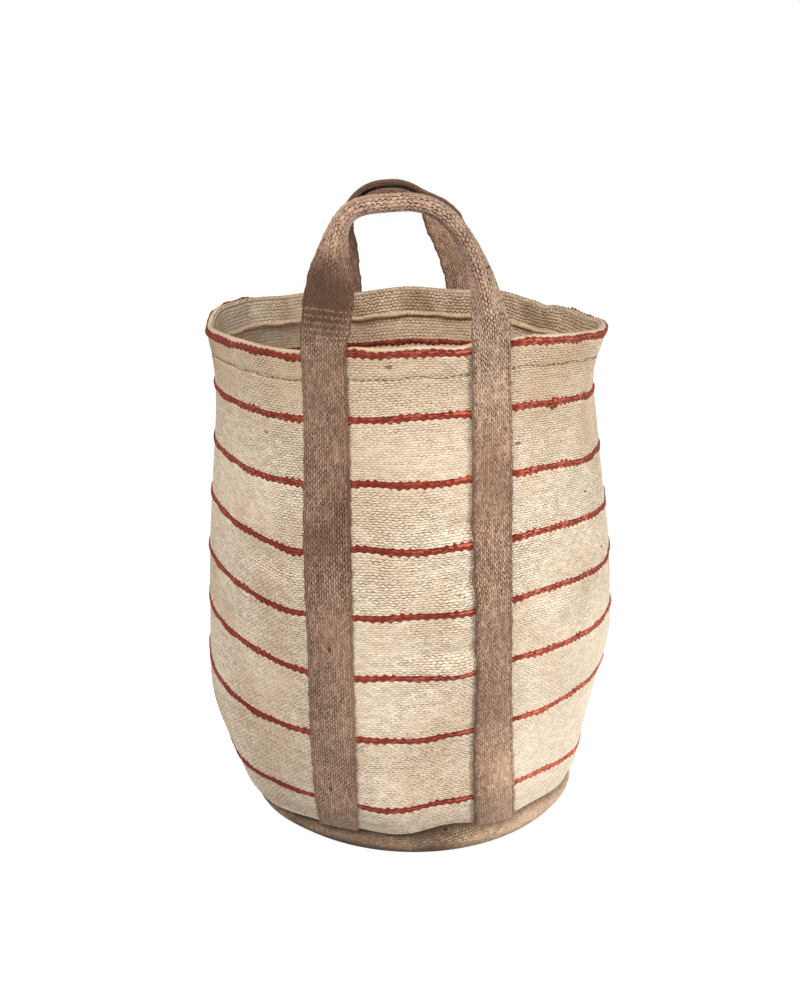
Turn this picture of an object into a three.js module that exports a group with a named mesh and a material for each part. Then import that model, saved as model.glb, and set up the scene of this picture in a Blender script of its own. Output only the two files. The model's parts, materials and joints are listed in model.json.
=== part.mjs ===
// Striped jute storage bag: a round tube of woven cloth on a turned-up base, with two webbing handles.
// Millimetres, +Z up. The bag stands on z = 0, with its mouth centred on the Z axis and its front towards -Y.
// An azimuth is counted from the front, -Y, towards the right, +X.
import * as THREE from 'three';

// Body cloth: the outer radii that its slack outline passes through, from the base seam to the rim
const BAG_HEIGHT = 400;
const SEAM_HEIGHT = 22;
const SEAM_RADIUS = 144.5;
const FOOT_RISE = 20;
const FOOT_RADIUS = 159.5;
const HIP_RISE = 70;
const HIP_RADIUS = 168.3;
const BELLY_RISE = 190;
const BELLY_RADIUS = 169.4;
const WAIST_DROP = 44;
const WAIST_RADIUS = 153.7;
const MOUTH_RADIUS = 158.5;
const CLOTH = 3;

// Hem at the rim, the cloth turned in once, and the cloth edges turned up inside at the base seam
const HEM_DEPTH = 28;
const HEM_THICKNESS = 6.2;
const HEM_ROUND = 1.6;
const SEAM_ALLOWANCE = 10;

// Side seam, at the right rear: the two cloth edges lie flat against the inside
const SIDE_SEAM_AZIMUTH = THREE.MathUtils.degToRad(126);
const SIDE_SEAM_WIDTH = 16;

// Rust weft stripes, measured down from the rim. The first lies on the fold.
const STRIPE_WIDTH = 4.6;
const STRIPE_DEPTH = 1.5;
const STRIPE_DROPS = [48.5, 95, 141, 187, 234, 284.5, 343.5];

// Base: a disc of cloth whose edge is turned up to the seam
const BASE_FLAT_RADIUS = 138;
const BASE_EDGE_RADIUS = 146.5;
const BASE_EDGE_HEIGHT = 11;
const BASE_SHOULDER_HEIGHT = 3.7;
const BASE_CLOTH = 3;

// Webbing: legs sewn flat to the wall, and the handle loops above the rim
const STRAP_WIDTH = 35;
const STRAP_THICKNESS = 3.4;
const STRAP_SPACING_RIM = 113;
const STRAP_SPACING_SEAM = 120;
const STRAP_DRIFT = 3.5;
const STRAP_TOP_DROP = 2;
const HANDLE_RISE = 95;
const HANDLE_SQUARE = 0.72;
const HANDLE_LEAN_FRONT = 2;
const HANDLE_LEAN_REAR = 9;
const FOLD_START = 20;
const FOLD_LENGTH = 55;
const FOLD_ANGLE = THREE.MathUtils.degToRad(84);
const FOLD_RADIUS = 3;

// Slack: the cloth hangs askew between its sides and its legs, and bellies out unevenly. The rim dips, the
// lower wall sways to the left, and the base is a little oval and stands forward.
const SIDE_LIFT = -6.8;
const LEG_LIFT = 13.5;
const SAG = 4.1;
const SAG_LOBES = 3;
const SAG_TURN = 2.07;
const RIM_DIP = 2.7;
const RIM_DIP_TURN = 2.02;
const SWAY = 7.5;
const SWAY_HEIGHT = 74;
const SWAY_SPREAD = 60;
const BASE_OVAL = 4;
const BASE_OVAL_TURN = 0.44;
const BASE_FORWARD = 3.6;
const BASE_FADE = 99;

// Clearance between touching pieces. The handles' bend clears the rim, and stands out from the legs' middle
// so that the flat loop also clears the curved rim when it folds out.
const GAP = 0.3;
const BEND_GAP = 0.75;
const BEND_LEAD = 3;

// Fineness of the curved surfaces
const TURN_STEPS = 40;
const ACROSS_STEPS = 4;
const ARCH_STEPS = 26;
const END_ROUND_STEPS = 3;
const END_ROUND_SHARE = 0.285;
const FACET_SAG = BELLY_RADIUS * (1 - Math.cos(Math.PI / TURN_STEPS));

// Outline of the body: outer radius at each height
const outlineHeights = [
  SEAM_HEIGHT,
  SEAM_HEIGHT + FOOT_RISE,
  SEAM_HEIGHT + HIP_RISE,
  SEAM_HEIGHT + BELLY_RISE,
  BAG_HEIGHT - WAIST_DROP,
  BAG_HEIGHT,
];
const outlineRadii = [SEAM_RADIUS, FOOT_RADIUS, HIP_RADIUS, BELLY_RADIUS, WAIST_RADIUS, MOUTH_RADIUS];
const outline = new THREE.CubicInterpolant(outlineHeights, outlineRadii, 1);

function wallRadius(height) {
  return outline.evaluate(THREE.MathUtils.clamp(height, SEAM_HEIGHT, BAG_HEIGHT))[0];
}

// Slack of the cloth: moves a point of the true round bag to where it hangs. The base stays flat.
function settle(point) {
  const { clamp, smoothstep } = THREE.MathUtils;
  const azimuth = Math.atan2(point.x, -point.y);
  const sine = Math.sin(azimuth);
  const cosine = Math.cos(azimuth);
  const reach = clamp((point.z - BASE_CLOTH) / (SEAM_HEIGHT - BASE_CLOTH), 0, 1);
  const share = clamp((point.z - SEAM_HEIGHT) / (BAG_HEIGHT - SEAM_HEIGHT), 0, 1);
  const low = 1 - smoothstep(point.z, 0, BASE_FADE);
  const belly = (SAG / BELLY_RADIUS) * Math.sin(Math.PI * share) ** 2;
  const oval = (BASE_OVAL / BASE_EDGE_RADIUS) * low;
  const bulge = belly * Math.sin(SAG_LOBES * azimuth + SAG_TURN);
  const sway = (SWAY / HIP_RADIUS) * Math.exp(-(((point.z - SWAY_HEIGHT) / SWAY_SPREAD) ** 2));
  const growth = 1 + bulge + oval * Math.cos(2 * (azimuth - BASE_OVAL_TURN)) - sway * sine;
  const dip = RIM_DIP * smoothstep(share, 0, 1) * Math.cos(2 * (azimuth - RIM_DIP_TURN));
  point.x *= growth;
  point.y = point.y * growth - BASE_FORWARD * low;
  point.z += reach * (sine * (SIDE_LIFT + LEG_LIFT * cosine * cosine) - dip);
  return point;
}

function settled(geometry) {
  const positions = geometry.getAttribute('position');
  const point = new THREE.Vector3();
  for (let i = 0; i < positions.count; i += 1) {
    settle(point.fromBufferAttribute(positions, i));
    positions.setXYZ(i, point.x, point.y, point.z);
  }
  geometry.computeVertexNormals();
  return geometry;
}

function aroundAxis(azimuth, radius, height) {
  return new THREE.Vector3(radius * Math.sin(azimuth), -radius * Math.cos(azimuth), height);
}

// A ring or dish turned about the bag's axis from (radius, height) points that run anticlockwise
function turned(points) {
  const profile = points.map(([radius, height]) => new THREE.Vector2(radius, height));
  const geometry = new THREE.LatheGeometry(profile, TURN_STEPS);
  geometry.rotateX(Math.PI / 2);
  return settled(geometry);
}

// A band lofted through sections. Each section runs along the outer face and back along the inner one.
function loft(sections) {
  const around = sections[0].length;
  const last = (sections.length - 1) * around;
  const faces = [];
  const quad = (a, b, c, d) => faces.push(a, b, c, a, c, d);
  for (let start = 0; start < last; start += around) {
    for (let i = 0; i < around; i += 1) {
      const next = (i + 1) % around;
      quad(start + i, start + next, start + around + next, start + around + i);
    }
  }
  for (let i = 0; i < around / 2 - 1; i += 1) {
    const across = around - 1 - i;
    quad(i, across, across - 1, i + 1);
    quad(last + i, last + i + 1, last + across - 1, last + across);
  }
  const geometry = new THREE.BufferGeometry();
  geometry.setFromPoints(sections.flat());
  geometry.setIndex(faces);
  geometry.computeVertexNormals();
  return geometry;
}

// Evenly spaced values from first to last, both included
function spread(first, last, steps) {
  return Array.from({ length: steps + 1 }, (_, i) => THREE.MathUtils.lerp(first, last, i / steps));
}

// Stripes that clear the base seam, from the bottom up, by the heights of their middles
const lowestStripe = SEAM_HEIGHT + STRIPE_WIDTH;
const stripeHeights = STRIPE_DROPS.map((drop) => BAG_HEIGHT - drop)
  .filter((height) => height > lowestStripe)
  .sort((a, b) => a - b);

// Rows of the wall, from the bottom up: halfway up to each stripe, and the stripe's two edges
const seamFace = SEAM_HEIGHT + GAP / 2;
const allowanceTop = SEAM_HEIGHT + SEAM_ALLOWANCE;
const wallRows = stripeHeights.map((middle, i) => {
  const low = middle - STRIPE_WIDTH / 2;
  const below = i ? stripeHeights[i - 1] + STRIPE_WIDTH / 2 : seamFace;
  return { between: (below + low) / 2, low, middle, high: middle + STRIPE_WIDTH / 2 };
});
const outerHeights = wallRows.flatMap(({ between, low, high }) => [between, low, high]);
const innerHeights = wallRows.flatMap(({ between, middle }) => [between, middle]);

// A strip that lies on the wall and follows its rows, at an offset from the wall's outer face
function wallStrip({ bottom, top, rows, width, offset, thickness, centre }) {
  const heights = [bottom, ...rows.filter((height) => height > bottom && height < top), top];
  const sections = heights.map((height) => {
    const radius = wallRadius(height);
    const azimuths = spread(-width / 2, width / 2, ACROSS_STEPS).map((w) => centre(height) + w / radius);
    const outer = azimuths.map((azimuth) => aroundAxis(azimuth, radius + offset + thickness, height));
    const inner = azimuths.map((azimuth) => aroundAxis(azimuth, radius + offset, height));
    return [...outer, ...inner.reverse()];
  });
  return settled(loft(sections));
}

// Body panel: outer wall with a channel for each stripe, hem at the rim and inner wall
function bodyPanel() {
  const rimShoulder = BAG_HEIGHT - STRIPE_WIDTH;
  const points = [[SEAM_RADIUS, seamFace]];
  for (const { between, low, high } of wallRows) {
    points.push([wallRadius(between), between]);
    points.push([wallRadius(low), low], [wallRadius(low) - STRIPE_DEPTH, low]);
    points.push([wallRadius(high) - STRIPE_DEPTH, high], [wallRadius(high), high]);
  }
  points.push([wallRadius(rimShoulder), rimShoulder]);
  points.push([wallRadius(rimShoulder) - STRIPE_DEPTH, rimShoulder]);
  points.push([MOUTH_RADIUS - STRIPE_DEPTH, BAG_HEIGHT]);

  const hemFace = MOUTH_RADIUS - HEM_THICKNESS;
  const hemEdge = BAG_HEIGHT - HEM_DEPTH;
  points.push([hemFace + HEM_ROUND, BAG_HEIGHT], [hemFace, BAG_HEIGHT - HEM_ROUND]);
  points.push([wallRadius(hemEdge) - HEM_THICKNESS, hemEdge]);

  const inside = innerHeights.filter((height) => height > allowanceTop && height < hemEdge);
  for (const height of [hemEdge, ...inside.reverse(), allowanceTop, seamFace]) {
    points.push([wallRadius(height) - CLOTH, height]);
  }
  points.push(points[0]);
  return turned(points);
}

// One stripe of dyed yarn, seated in its channel and flush with the cloth
function stripeRing(middle) {
  const low = middle - STRIPE_WIDTH / 2 + GAP;
  const high = middle + STRIPE_WIDTH / 2 - GAP;
  const seat = STRIPE_DEPTH - GAP;
  const start = [wallRadius(low) - seat, low];
  const outer = [[wallRadius(low), low], [wallRadius(high), high]];
  return turned([start, ...outer, [wallRadius(high) - seat, high], start]);
}

// The first stripe, on the fold of the rim, with its outer corner rounded over
function rimStripe() {
  const low = BAG_HEIGHT - STRIPE_WIDTH + GAP;
  const seat = STRIPE_DEPTH - GAP;
  const corner = seat / 2;
  const start = [wallRadius(low) - seat, low];
  return turned([
    start,
    [wallRadius(low), low],
    [MOUTH_RADIUS, BAG_HEIGHT - corner],
    [MOUTH_RADIUS - corner, BAG_HEIGHT],
    [MOUTH_RADIUS - seat, BAG_HEIGHT],
    start,
  ]);
}

// Base panel: flat disc whose rounded edge is turned up to the seam
function basePanel() {
  const seamUnderside = SEAM_HEIGHT - GAP / 2;
  const shoulder = (BASE_FLAT_RADIUS + BASE_EDGE_RADIUS) / 2 + BASE_CLOTH / 2;
  return turned([
    [0, 0],
    [BASE_FLAT_RADIUS, 0],
    [shoulder, BASE_SHOULDER_HEIGHT],
    [BASE_EDGE_RADIUS, BASE_EDGE_HEIGHT],
    [SEAM_RADIUS, seamUnderside],
    [SEAM_RADIUS - BASE_CLOTH, seamUnderside],
    [BASE_EDGE_RADIUS - BASE_CLOTH, BASE_EDGE_HEIGHT],
    [shoulder - BASE_CLOTH, BASE_SHOULDER_HEIGHT + BASE_CLOTH / 2],
    [BASE_FLAT_RADIUS - BASE_CLOTH, BASE_CLOTH],
    [0, BASE_CLOTH],
  ]);
}

// Base seam allowance: the edges of the body and the base, sewn together and turned up against the inside
function baseSeamAllowance() {
  const face = (height) => wallRadius(height) - CLOTH - GAP;
  const both = CLOTH + BASE_CLOTH;
  const start = [face(seamFace) - both, seamFace];
  return turned([
    start,
    [face(seamFace), seamFace],
    [face(allowanceTop), allowanceTop],
    [face(allowanceTop) - both, allowanceTop],
    start,
  ]);
}

// Side seam allowance: the cloth's edges turned flat on the inside, from the base seam's edges up to the hem
function sideSeamAllowance() {
  return wallStrip({
    bottom: allowanceTop + GAP,
    top: BAG_HEIGHT - HEM_DEPTH - GAP,
    rows: innerHeights,
    width: SIDE_SEAM_WIDTH,
    offset: -2 * CLOTH - GAP - FACET_SAG,
    thickness: CLOTH,
    centre: () => SIDE_SEAM_AZIMUTH,
  });
}

// Azimuth of a leg's middle. The legs stand closer together at the rim than at the base seam, and drift to
// the right on the way down.
function legAzimuth(height, front, right) {
  const share = (height - SEAM_HEIGHT) / (BAG_HEIGHT - SEAM_HEIGHT);
  const half = THREE.MathUtils.lerp(STRAP_SPACING_SEAM, STRAP_SPACING_RIM, share) / 2;
  const aside = (right ? half : -half) + STRAP_DRIFT * (1 - share);
  const turn = Math.asin(aside / wallRadius(height));
  return front ? turn : Math.PI - turn;
}

function strapLeg(front, right) {
  return wallStrip({
    bottom: SEAM_HEIGHT + GAP,
    top: BAG_HEIGHT - STRAP_TOP_DROP,
    rows: outerHeights,
    width: STRAP_WIDTH,
    offset: GAP,
    thickness: STRAP_THICKNESS,
    centre: (height) => legAzimuth(height, front, right),
  });
}

// Middle line of a handle, in the plane of its bend line: half a squarish oval that leaves both feet upright
// and leans to the left at the top
class HandleArch extends THREE.Curve {
  constructor(lean) {
    super();
    this.lean = lean;
  }

  getPoint(t, target = new THREE.Vector2()) {
    const rise = Math.sin(Math.PI * t);
    const reach = Math.cos(Math.PI * t);
    const wide = Math.sign(reach) * Math.abs(reach) ** HANDLE_SQUARE;
    return target.set((STRAP_SPACING_RIM / 2) * wide - this.lean * rise ** 2, HANDLE_RISE * rise);
  }
}

// Handle loop about its bend line, which is local X: flat at both ends, folded lengthwise over the arch.
// The fold's ridge is on the outside of the bag, and both edges turn in towards it.
function handleLoop(front) {
  const inward = front ? 1 : -1;
  const arch = new HandleArch(front ? HANDLE_LEAN_FRONT : HANDLE_LEAN_REAR);
  const length = arch.getLength();
  const half = STRAP_WIDTH / 2;
  const bend = FOLD_RADIUS * FOLD_ANGLE;
  const across = [0, bend / 2, bend, (bend + half) / 2, half];
  const ribbon = [...across.slice(1).reverse().map((w) => -w), ...across];

  const section = (place, along, fold, thickness) => {
    const outer = [];
    const inner = [];
    for (const w of ribbon) {
      const curved = Math.min(Math.abs(w), bend);
      const straight = Math.abs(w) - curved;
      const angle = (fold * curved) / bend;
      const radius = fold > 0 ? bend / fold : 0;
      const arc = fold > 0 ? radius * Math.sin(angle) : curved;
      const wide = Math.sign(w) * (arc + straight * Math.cos(angle));
      const depth = radius * (1 - Math.cos(angle)) + straight * Math.sin(angle);
      for (const [face, side] of [[outer, 1], [inner, -1]]) {
        const out = inward * (wide + (side * Math.sign(w) * Math.sin(angle) * thickness) / 2);
        const back = depth - (side * Math.cos(angle) * thickness) / 2;
        face.push(new THREE.Vector3(place.x + out * along.y, inward * back, place.y - out * along.x));
      }
    }
    return [...outer, ...inner.reverse()];
  };

  const sections = spread(0, 1, ARCH_STEPS).map((share) => {
    const fromRight = THREE.MathUtils.smoothstep(share * length - FOLD_START, 0, FOLD_LENGTH);
    const fromLeft = THREE.MathUtils.smoothstep((1 - share) * length - FOLD_START, 0, FOLD_LENGTH);
    const fold = FOLD_ANGLE * fromRight * fromLeft;
    return section(arch.getPointAt(share), arch.getTangentAt(share), fold, STRAP_THICKNESS);
  });
  const foot = new THREE.Vector2(STRAP_SPACING_RIM / 2, 0);
  const up = new THREE.Vector2(0, 1);
  const down = new THREE.Vector2(0, -1);
  for (let step = 1; step <= END_ROUND_STEPS; step += 1) {
    const turn = ((step * Math.PI) / 2) * END_ROUND_SHARE;
    const drop = (STRAP_THICKNESS / 2) * Math.sin(turn);
    const thickness = STRAP_THICKNESS * Math.cos(turn);
    sections.unshift(section(new THREE.Vector2(foot.x, -drop), up, 0, thickness));
    sections.push(section(new THREE.Vector2(-foot.x, -drop), down, 0, thickness));
  }
  return loft(sections);
}

// The bend line of a handle: level with the rim under both of its legs, and just outside the webbing's middle
function bendLine(front) {
  const offset = GAP + STRAP_THICKNESS / 2;
  const [left, right] = [false, true].map((side) =>
    settle(aroundAxis(legAzimuth(BAG_HEIGHT, front, side), MOUTH_RADIUS + offset, BAG_HEIGHT)));
  const middle = new THREE.Vector3().addVectors(left, right).divideScalar(2);
  middle.y += front ? -BEND_LEAD : BEND_LEAD;
  middle.z += STRAP_THICKNESS / 2 + BEND_GAP;
  return { middle, tilt: Math.atan2(right.z - left.z, right.x - left.x) };
}

const creamJute = new THREE.MeshStandardMaterial({ color: 0xd8c5a8, roughness: 0.95, metalness: 0 });
const rustYarn = new THREE.MeshStandardMaterial({ color: 0xa54c30, roughness: 0.95, metalness: 0 });
const taupeWebbing = new THREE.MeshStandardMaterial({ color: 0x9c7d66, roughness: 0.95, metalness: 0 });
const brownJute = new THREE.MeshStandardMaterial({ color: 0x8b705a, roughness: 0.95, metalness: 0 });

const bag = new THREE.Group();

function addPiece(name, geometry, material) {
  const mesh = new THREE.Mesh(geometry, material);
  mesh.name = name;
  bag.add(mesh);
  return mesh;
}

addPiece('base_panel', basePanel(), brownJute);
addPiece('body_panel', bodyPanel(), creamJute);
addPiece('base_seam_allowance', baseSeamAllowance(), brownJute);
addPiece('side_seam_allowance', sideSeamAllowance(), creamJute);
addPiece('rust_stripe_1', rimStripe(), rustYarn);
[...stripeHeights].reverse().forEach((middle, i) => {
  addPiece(`rust_stripe_${i + 2}`, stripeRing(middle), rustYarn);
});

for (const front of [true, false]) {
  const end = front ? 'front' : 'rear';
  addPiece(`${end}_strap_left`, strapLeg(front, false), taupeWebbing);
  addPiece(`${end}_strap_right`, strapLeg(front, true), taupeWebbing);
  const { middle, tilt } = bendLine(front);
  const handle = addPiece(`${end}_handle`, handleLoop(front), taupeWebbing);
  handle.position.copy(middle);
  handle.rotation.y = -tilt;
}

export default bag;
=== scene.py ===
"""Looks of a striped jute storage bag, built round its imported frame.

Metres, +Z up. The bag stands on z = 0 with its front handle towards -Y. An azimuth is counted from the front
towards the right, +X.
"""
import json
import math
from collections import namedtuple

import bmesh
import bpy
import numpy as np
from mathutils import Matrix, Vector


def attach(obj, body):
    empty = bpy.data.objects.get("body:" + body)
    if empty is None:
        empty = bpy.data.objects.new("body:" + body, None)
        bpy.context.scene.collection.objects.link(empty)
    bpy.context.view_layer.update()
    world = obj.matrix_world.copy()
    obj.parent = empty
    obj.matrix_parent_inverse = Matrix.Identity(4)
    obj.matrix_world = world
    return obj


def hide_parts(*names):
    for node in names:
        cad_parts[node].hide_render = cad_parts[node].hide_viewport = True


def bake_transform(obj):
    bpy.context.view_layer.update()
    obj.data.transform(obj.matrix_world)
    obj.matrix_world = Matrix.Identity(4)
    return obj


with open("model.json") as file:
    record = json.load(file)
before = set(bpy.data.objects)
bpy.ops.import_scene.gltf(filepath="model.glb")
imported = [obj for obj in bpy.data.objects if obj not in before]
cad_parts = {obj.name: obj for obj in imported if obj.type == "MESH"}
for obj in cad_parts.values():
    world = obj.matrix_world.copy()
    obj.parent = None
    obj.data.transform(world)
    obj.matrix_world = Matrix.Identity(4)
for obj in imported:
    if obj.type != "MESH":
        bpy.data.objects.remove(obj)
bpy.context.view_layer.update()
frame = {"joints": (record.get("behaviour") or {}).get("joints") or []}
joints = {joint["name"]: joint for joint in frame["joints"]}

# Body cloth: the outline of its outer face, from the base seam to the rim
BAG_HEIGHT = 0.400
SEAM_HEIGHT = 0.022
OUTLINE_HEIGHTS = np.array([SEAM_HEIGHT, 0.042, 0.092, 0.212, 0.356, BAG_HEIGHT])
OUTLINE_RADII = np.array([0.1445, 0.1595, 0.1683, 0.1694, 0.1537, 0.1585])
HIP_RADIUS = OUTLINE_RADII[2]
BELLY_RADIUS = OUTLINE_RADII[3]
CLOTH = 0.003
HEM_DEPTH = 0.0235
HEM_THICKNESS = 0.0062
SEAM_ALLOWANCE = 0.010
SIDE_SEAM_AZIMUTH = math.radians(126)
SIDE_SEAM_WIDTH = 0.016

# Rust stripes, measured down from the rim. The first lies just under the fold.
STRIPE_WIDTH = 0.0046
STRIPE_DROPS = (0.0034, 0.0485, 0.095, 0.141, 0.187, 0.234, 0.2845, 0.3435)

# Base
BASE_FLAT_RADIUS = 0.138
BASE_EDGE_RADIUS = 0.1465
BASE_EDGE_HEIGHT = 0.011
BASE_TOP_RADIUS = 0.1370
BASE_TOP_HEIGHT = 0.0175
BASE_CLOTH = 0.003

# Webbing
STRAP_WIDTH = 0.035
STRAP_THICKNESS = 0.0034
STRAP_SPACING_RIM = 0.113
STRAP_SPACING_SEAM = 0.120
STRAP_DRIFT = 0.0035
HANDLE_RISE = 0.092
HandleForm = namedtuple(
    "HandleForm", "lean right_square left_square right_tuck left_tuck right_fold left_fold")
HANDLE_FORMS = {
    "front": HandleForm(0.002, 0.74, 0.50, 0, 0.005, (-0.045, 0.075), (0.020, 0.090)),
    "rear": HandleForm(0.009, 1.0, 0.75, -0.003, -0.004, (0.050, 0.100), (0.020, 0.075)),
}
FOLD_ANGLE = math.radians(84)
FOLD_RADIUS = 0.003

# Slack of the cloth, as in the solid model
SIDE_LIFT = -0.0068
LEG_LIFT = 0.0135
SAG = 0.0041
SAG_LOBES = 3
SAG_TURN = 2.07
RIM_DIP = 0.0027
RIM_DIP_TURN = 2.02
SWAY = 0.0075
SWAY_HEIGHT = 0.074
SWAY_SPREAD = 0.060
BASE_OVAL = 0.004
BASE_OVAL_TURN = 0.44
BASE_FORWARD = 0.0036
BASE_FADE = 0.099

# Gap between layers, distance at which points merge, and a whole turn
GAP = 0.0003
TINY = 1e-6
TURN = 2 * math.pi

# Weave: floats round the bag, the height of a pick, and how far the floats stand up
FLOATS_ROUND = 230
FLOAT_STEPS = 4
PICK = 0.0018
RELIEF = 0.0005
STRAP_RIBS = 18
STRAP_RIB = STRAP_WIDTH / STRAP_RIBS
EDGE_RIBS = 3
FACE_RIBS = STRAP_RIBS + EDGE_RIBS
STRAP_FLOAT = 0.0038
STRAP_STEP = 0.001
STRAP_RELIEF = 0.0006

# Where the cloth is pulled out or in, and up or down. Azimuths and their spreads are in degrees.
Tug = namedtuple("Tug", "azimuth spread height tall out up", defaults=[0, 0])
TUGS = (
    # Rim at the sides, the front and the side seam
    Tug(-80, 16, 0.397, 0.020, out=-0.001, up=-0.005),
    Tug(84, 16, 0.397, 0.020, out=0.002, up=0.003),
    Tug(-14, 6, 0.400, 0.025, up=0.002),
    Tug(12, 6, 0.400, 0.025, up=-0.003),
    Tug(126, 3, 0.400, 0.012, out=-0.001, up=-0.002),
    Tug(85, 20, 0.368, 0.030, out=-0.003),
    # Waves of the stripes and the belly
    Tug(-14, 10, 0.305, 0.030, up=0.003),
    Tug(60, 14, 0.305, 0.030, up=-0.0025),
    Tug(-32, 9, 0.235, 0.045, up=-0.003),
    Tug(-11, 8, 0.259, 0.025, out=0.001, up=0.004),
    Tug(12, 6, 0.190, 0.040, up=-0.0025),
    Tug(-50, 12, 0.166, 0.025, up=0.0025),
    Tug(64, 12, 0.166, 0.025, up=-0.003),
    Tug(86, 22, 0.135, 0.030, out=0.003),
    # Waves of the rim at the back
    Tug(146, 7, 0.395, 0.030, out=0.0045, up=0.0015),
    Tug(165, 6, 0.395, 0.030, out=-0.006),
    Tug(180, 7, 0.395, 0.030, out=0.0055, up=0.001),
    Tug(-162, 6, 0.395, 0.030, out=-0.0055, up=-0.001),
    Tug(-146, 6, 0.395, 0.030, out=0.004, up=0.001),
    Tug(-132, 5, 0.395, 0.030, out=-0.004),
    Tug(-118, 5, 0.395, 0.030, out=0.003),
    # Creases, each one a furrow with a ridge under it
    Tug(13, 7, 0.272, 0.008, out=-0.004),
    Tug(11, 7, 0.258, 0.008, out=0.003),
    Tug(14, 6, 0.232, 0.007, out=-0.004),
    Tug(12, 7, 0.220, 0.007, out=0.003),
    Tug(12, 8, 0.184, 0.007, out=-0.0045),
    Tug(9, 8, 0.171, 0.007, out=0.0035),
    Tug(40, 8, 0.210, 0.009, out=-0.0035),
    Tug(44, 8, 0.196, 0.009, out=0.0025),
    Tug(-40, 9, 0.246, 0.009, out=-0.003),
    Tug(-36, 9, 0.232, 0.009, out=0.002),
    # Lowest stripes and the front corners
    Tug(-1, 8, 0.115, 0.022, up=-0.003),
    Tug(58, 12, 0.115, 0.022, up=0.003),
    Tug(-5, 8, 0.056, 0.022, out=0.001, up=-0.004),
    Tug(34, 10, 0.056, 0.022, up=0.002),
    Tug(86, 22, 0.054, 0.020, out=-0.007),
    Tug(-82, 22, 0.040, 0.030, out=-0.010),
    Tug(-54, 14, 0.030, 0.018, out=0.003, up=-0.008),
    # Turned-up edge of the base
    Tug(-48, 18, 0.012, 0.014, out=0.006),
    Tug(52, 20, 0.012, 0.014, out=0.007),
    Tug(-5, 7, 0.011, 0.012, out=0.005),
    Tug(11, 7, 0.011, 0.012, out=-0.010),
    Tug(29, 9, 0.011, 0.012, out=0.006),
    Tug(-38, 13, 0.011, 0.012, out=0.007),
)

rng = np.random.default_rng(seed=20)


def ease(value, low, high):
    """0 below low, 1 above high and smooth between them."""
    share = np.clip((value - low) / (high - low), 0, 1)
    return share * share * (3 - 2 * share)


def bell(distance, spread):
    """1 at no distance, and nearly 0 beyond twice the spread."""
    return np.exp(-((distance / spread) ** 2))


def near_azimuth(azimuth, middle, spread):
    return bell((azimuth - middle + np.pi) % TURN - np.pi, spread)


def wall_radius(height):
    """Outer radius of the round bag: cubic pieces whose slope at a height is the mean of its neighbours'."""
    secants = np.diff(OUTLINE_RADII) / np.diff(OUTLINE_HEIGHTS)
    slopes = np.concatenate([secants[:1], (secants[1:] + secants[:-1]) / 2, secants[-1:]])
    height = np.clip(height, SEAM_HEIGHT, BAG_HEIGHT)
    low = np.clip(np.searchsorted(OUTLINE_HEIGHTS, height, side="right") - 1, 0, len(secants) - 1)
    step = np.diff(OUTLINE_HEIGHTS)[low]
    t = (height - OUTLINE_HEIGHTS[low]) / step
    rise = 3 * t**2 - 2 * t**3
    start = OUTLINE_RADII[low] * (1 - rise) + OUTLINE_RADII[low + 1] * rise
    return start + step * (slopes[low] * (t**3 - 2 * t**2 + t) + slopes[low + 1] * (t**3 - t**2))


def tugged(azimuth, height):
    """How far the cloth is pulled out and up at each place."""
    out = np.zeros_like(azimuth + height)
    up = np.zeros_like(out)
    for tug in TUGS:
        share = near_azimuth(azimuth, math.radians(tug.azimuth), math.radians(tug.spread))
        share = share * bell(height - tug.height, tug.tall)
        out += tug.out * share
        up += tug.up * share
    return out, up


RIPPLE_COUNT = 16
RIPPLE_LOBES = (3, 15)
RIPPLE_CLIMB = 60
RIPPLE_SHARES = (0.5, 1.0)
RIPPLE_LEVEL = 4
RIPPLE_OUT = 0.0013
RIPPLE_UP = 0.0005
RIPPLE_WAVES = [
    (int(rng.integers(*RIPPLE_LOBES)), rng.uniform(-RIPPLE_CLIMB, RIPPLE_CLIMB), rng.uniform(0, TURN),
     rng.uniform(*RIPPLE_SHARES))
    for _ in range(RIPPLE_COUNT)
]


def ripple(azimuth, height):
    """Soft unevenness of slack cloth, about -1 to 1, which closes round the bag."""
    total = 0
    for lobes, climb, start, share in RIPPLE_WAVES:
        total = total + share * np.sin(lobes * azimuth + climb * height + start)
    return total / RIPPLE_LEVEL


def hang(azimuth, height, radius):
    """Points of the slack bag, from azimuth, height and radius on the round one."""
    sine, cosine = np.sin(azimuth), np.cos(azimuth)
    reach = np.clip((height - BASE_CLOTH) / (SEAM_HEIGHT - BASE_CLOTH), 0, 1)
    share = np.clip((height - SEAM_HEIGHT) / (BAG_HEIGHT - SEAM_HEIGHT), 0, 1)
    low = 1 - ease(height, 0, BASE_FADE)
    belly = SAG / BELLY_RADIUS * np.sin(np.pi * share) ** 2 * np.sin(SAG_LOBES * azimuth + SAG_TURN)
    oval = BASE_OVAL / BASE_EDGE_RADIUS * low * np.cos(2 * (azimuth - BASE_OVAL_TURN))
    sway = SWAY / HIP_RADIUS * bell(height - SWAY_HEIGHT, SWAY_SPREAD) * sine
    dip = RIM_DIP * ease(share, 0, 1) * np.cos(2 * (azimuth - RIM_DIP_TURN))
    out, up = tugged(azimuth, height)
    radius = radius * (1 + belly + oval - sway) + reach * (out + RIPPLE_OUT * ripple(azimuth, height))
    lift = sine * (SIDE_LIFT + LEG_LIFT * cosine**2) - dip + up + RIPPLE_UP * ripple(azimuth + 1, height)
    forward = -radius * cosine - BASE_FORWARD * low
    return np.stack([radius * sine, forward, height + reach * lift], axis=-1)


def on_cloth(azimuth, height, inset):
    """Points of the body cloth, an inset in from its outer face."""
    return hang(azimuth, height, wall_radius(height) - inset)


def unit(vectors):
    return vectors / np.linalg.norm(vectors, axis=-1, keepdims=True)


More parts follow.
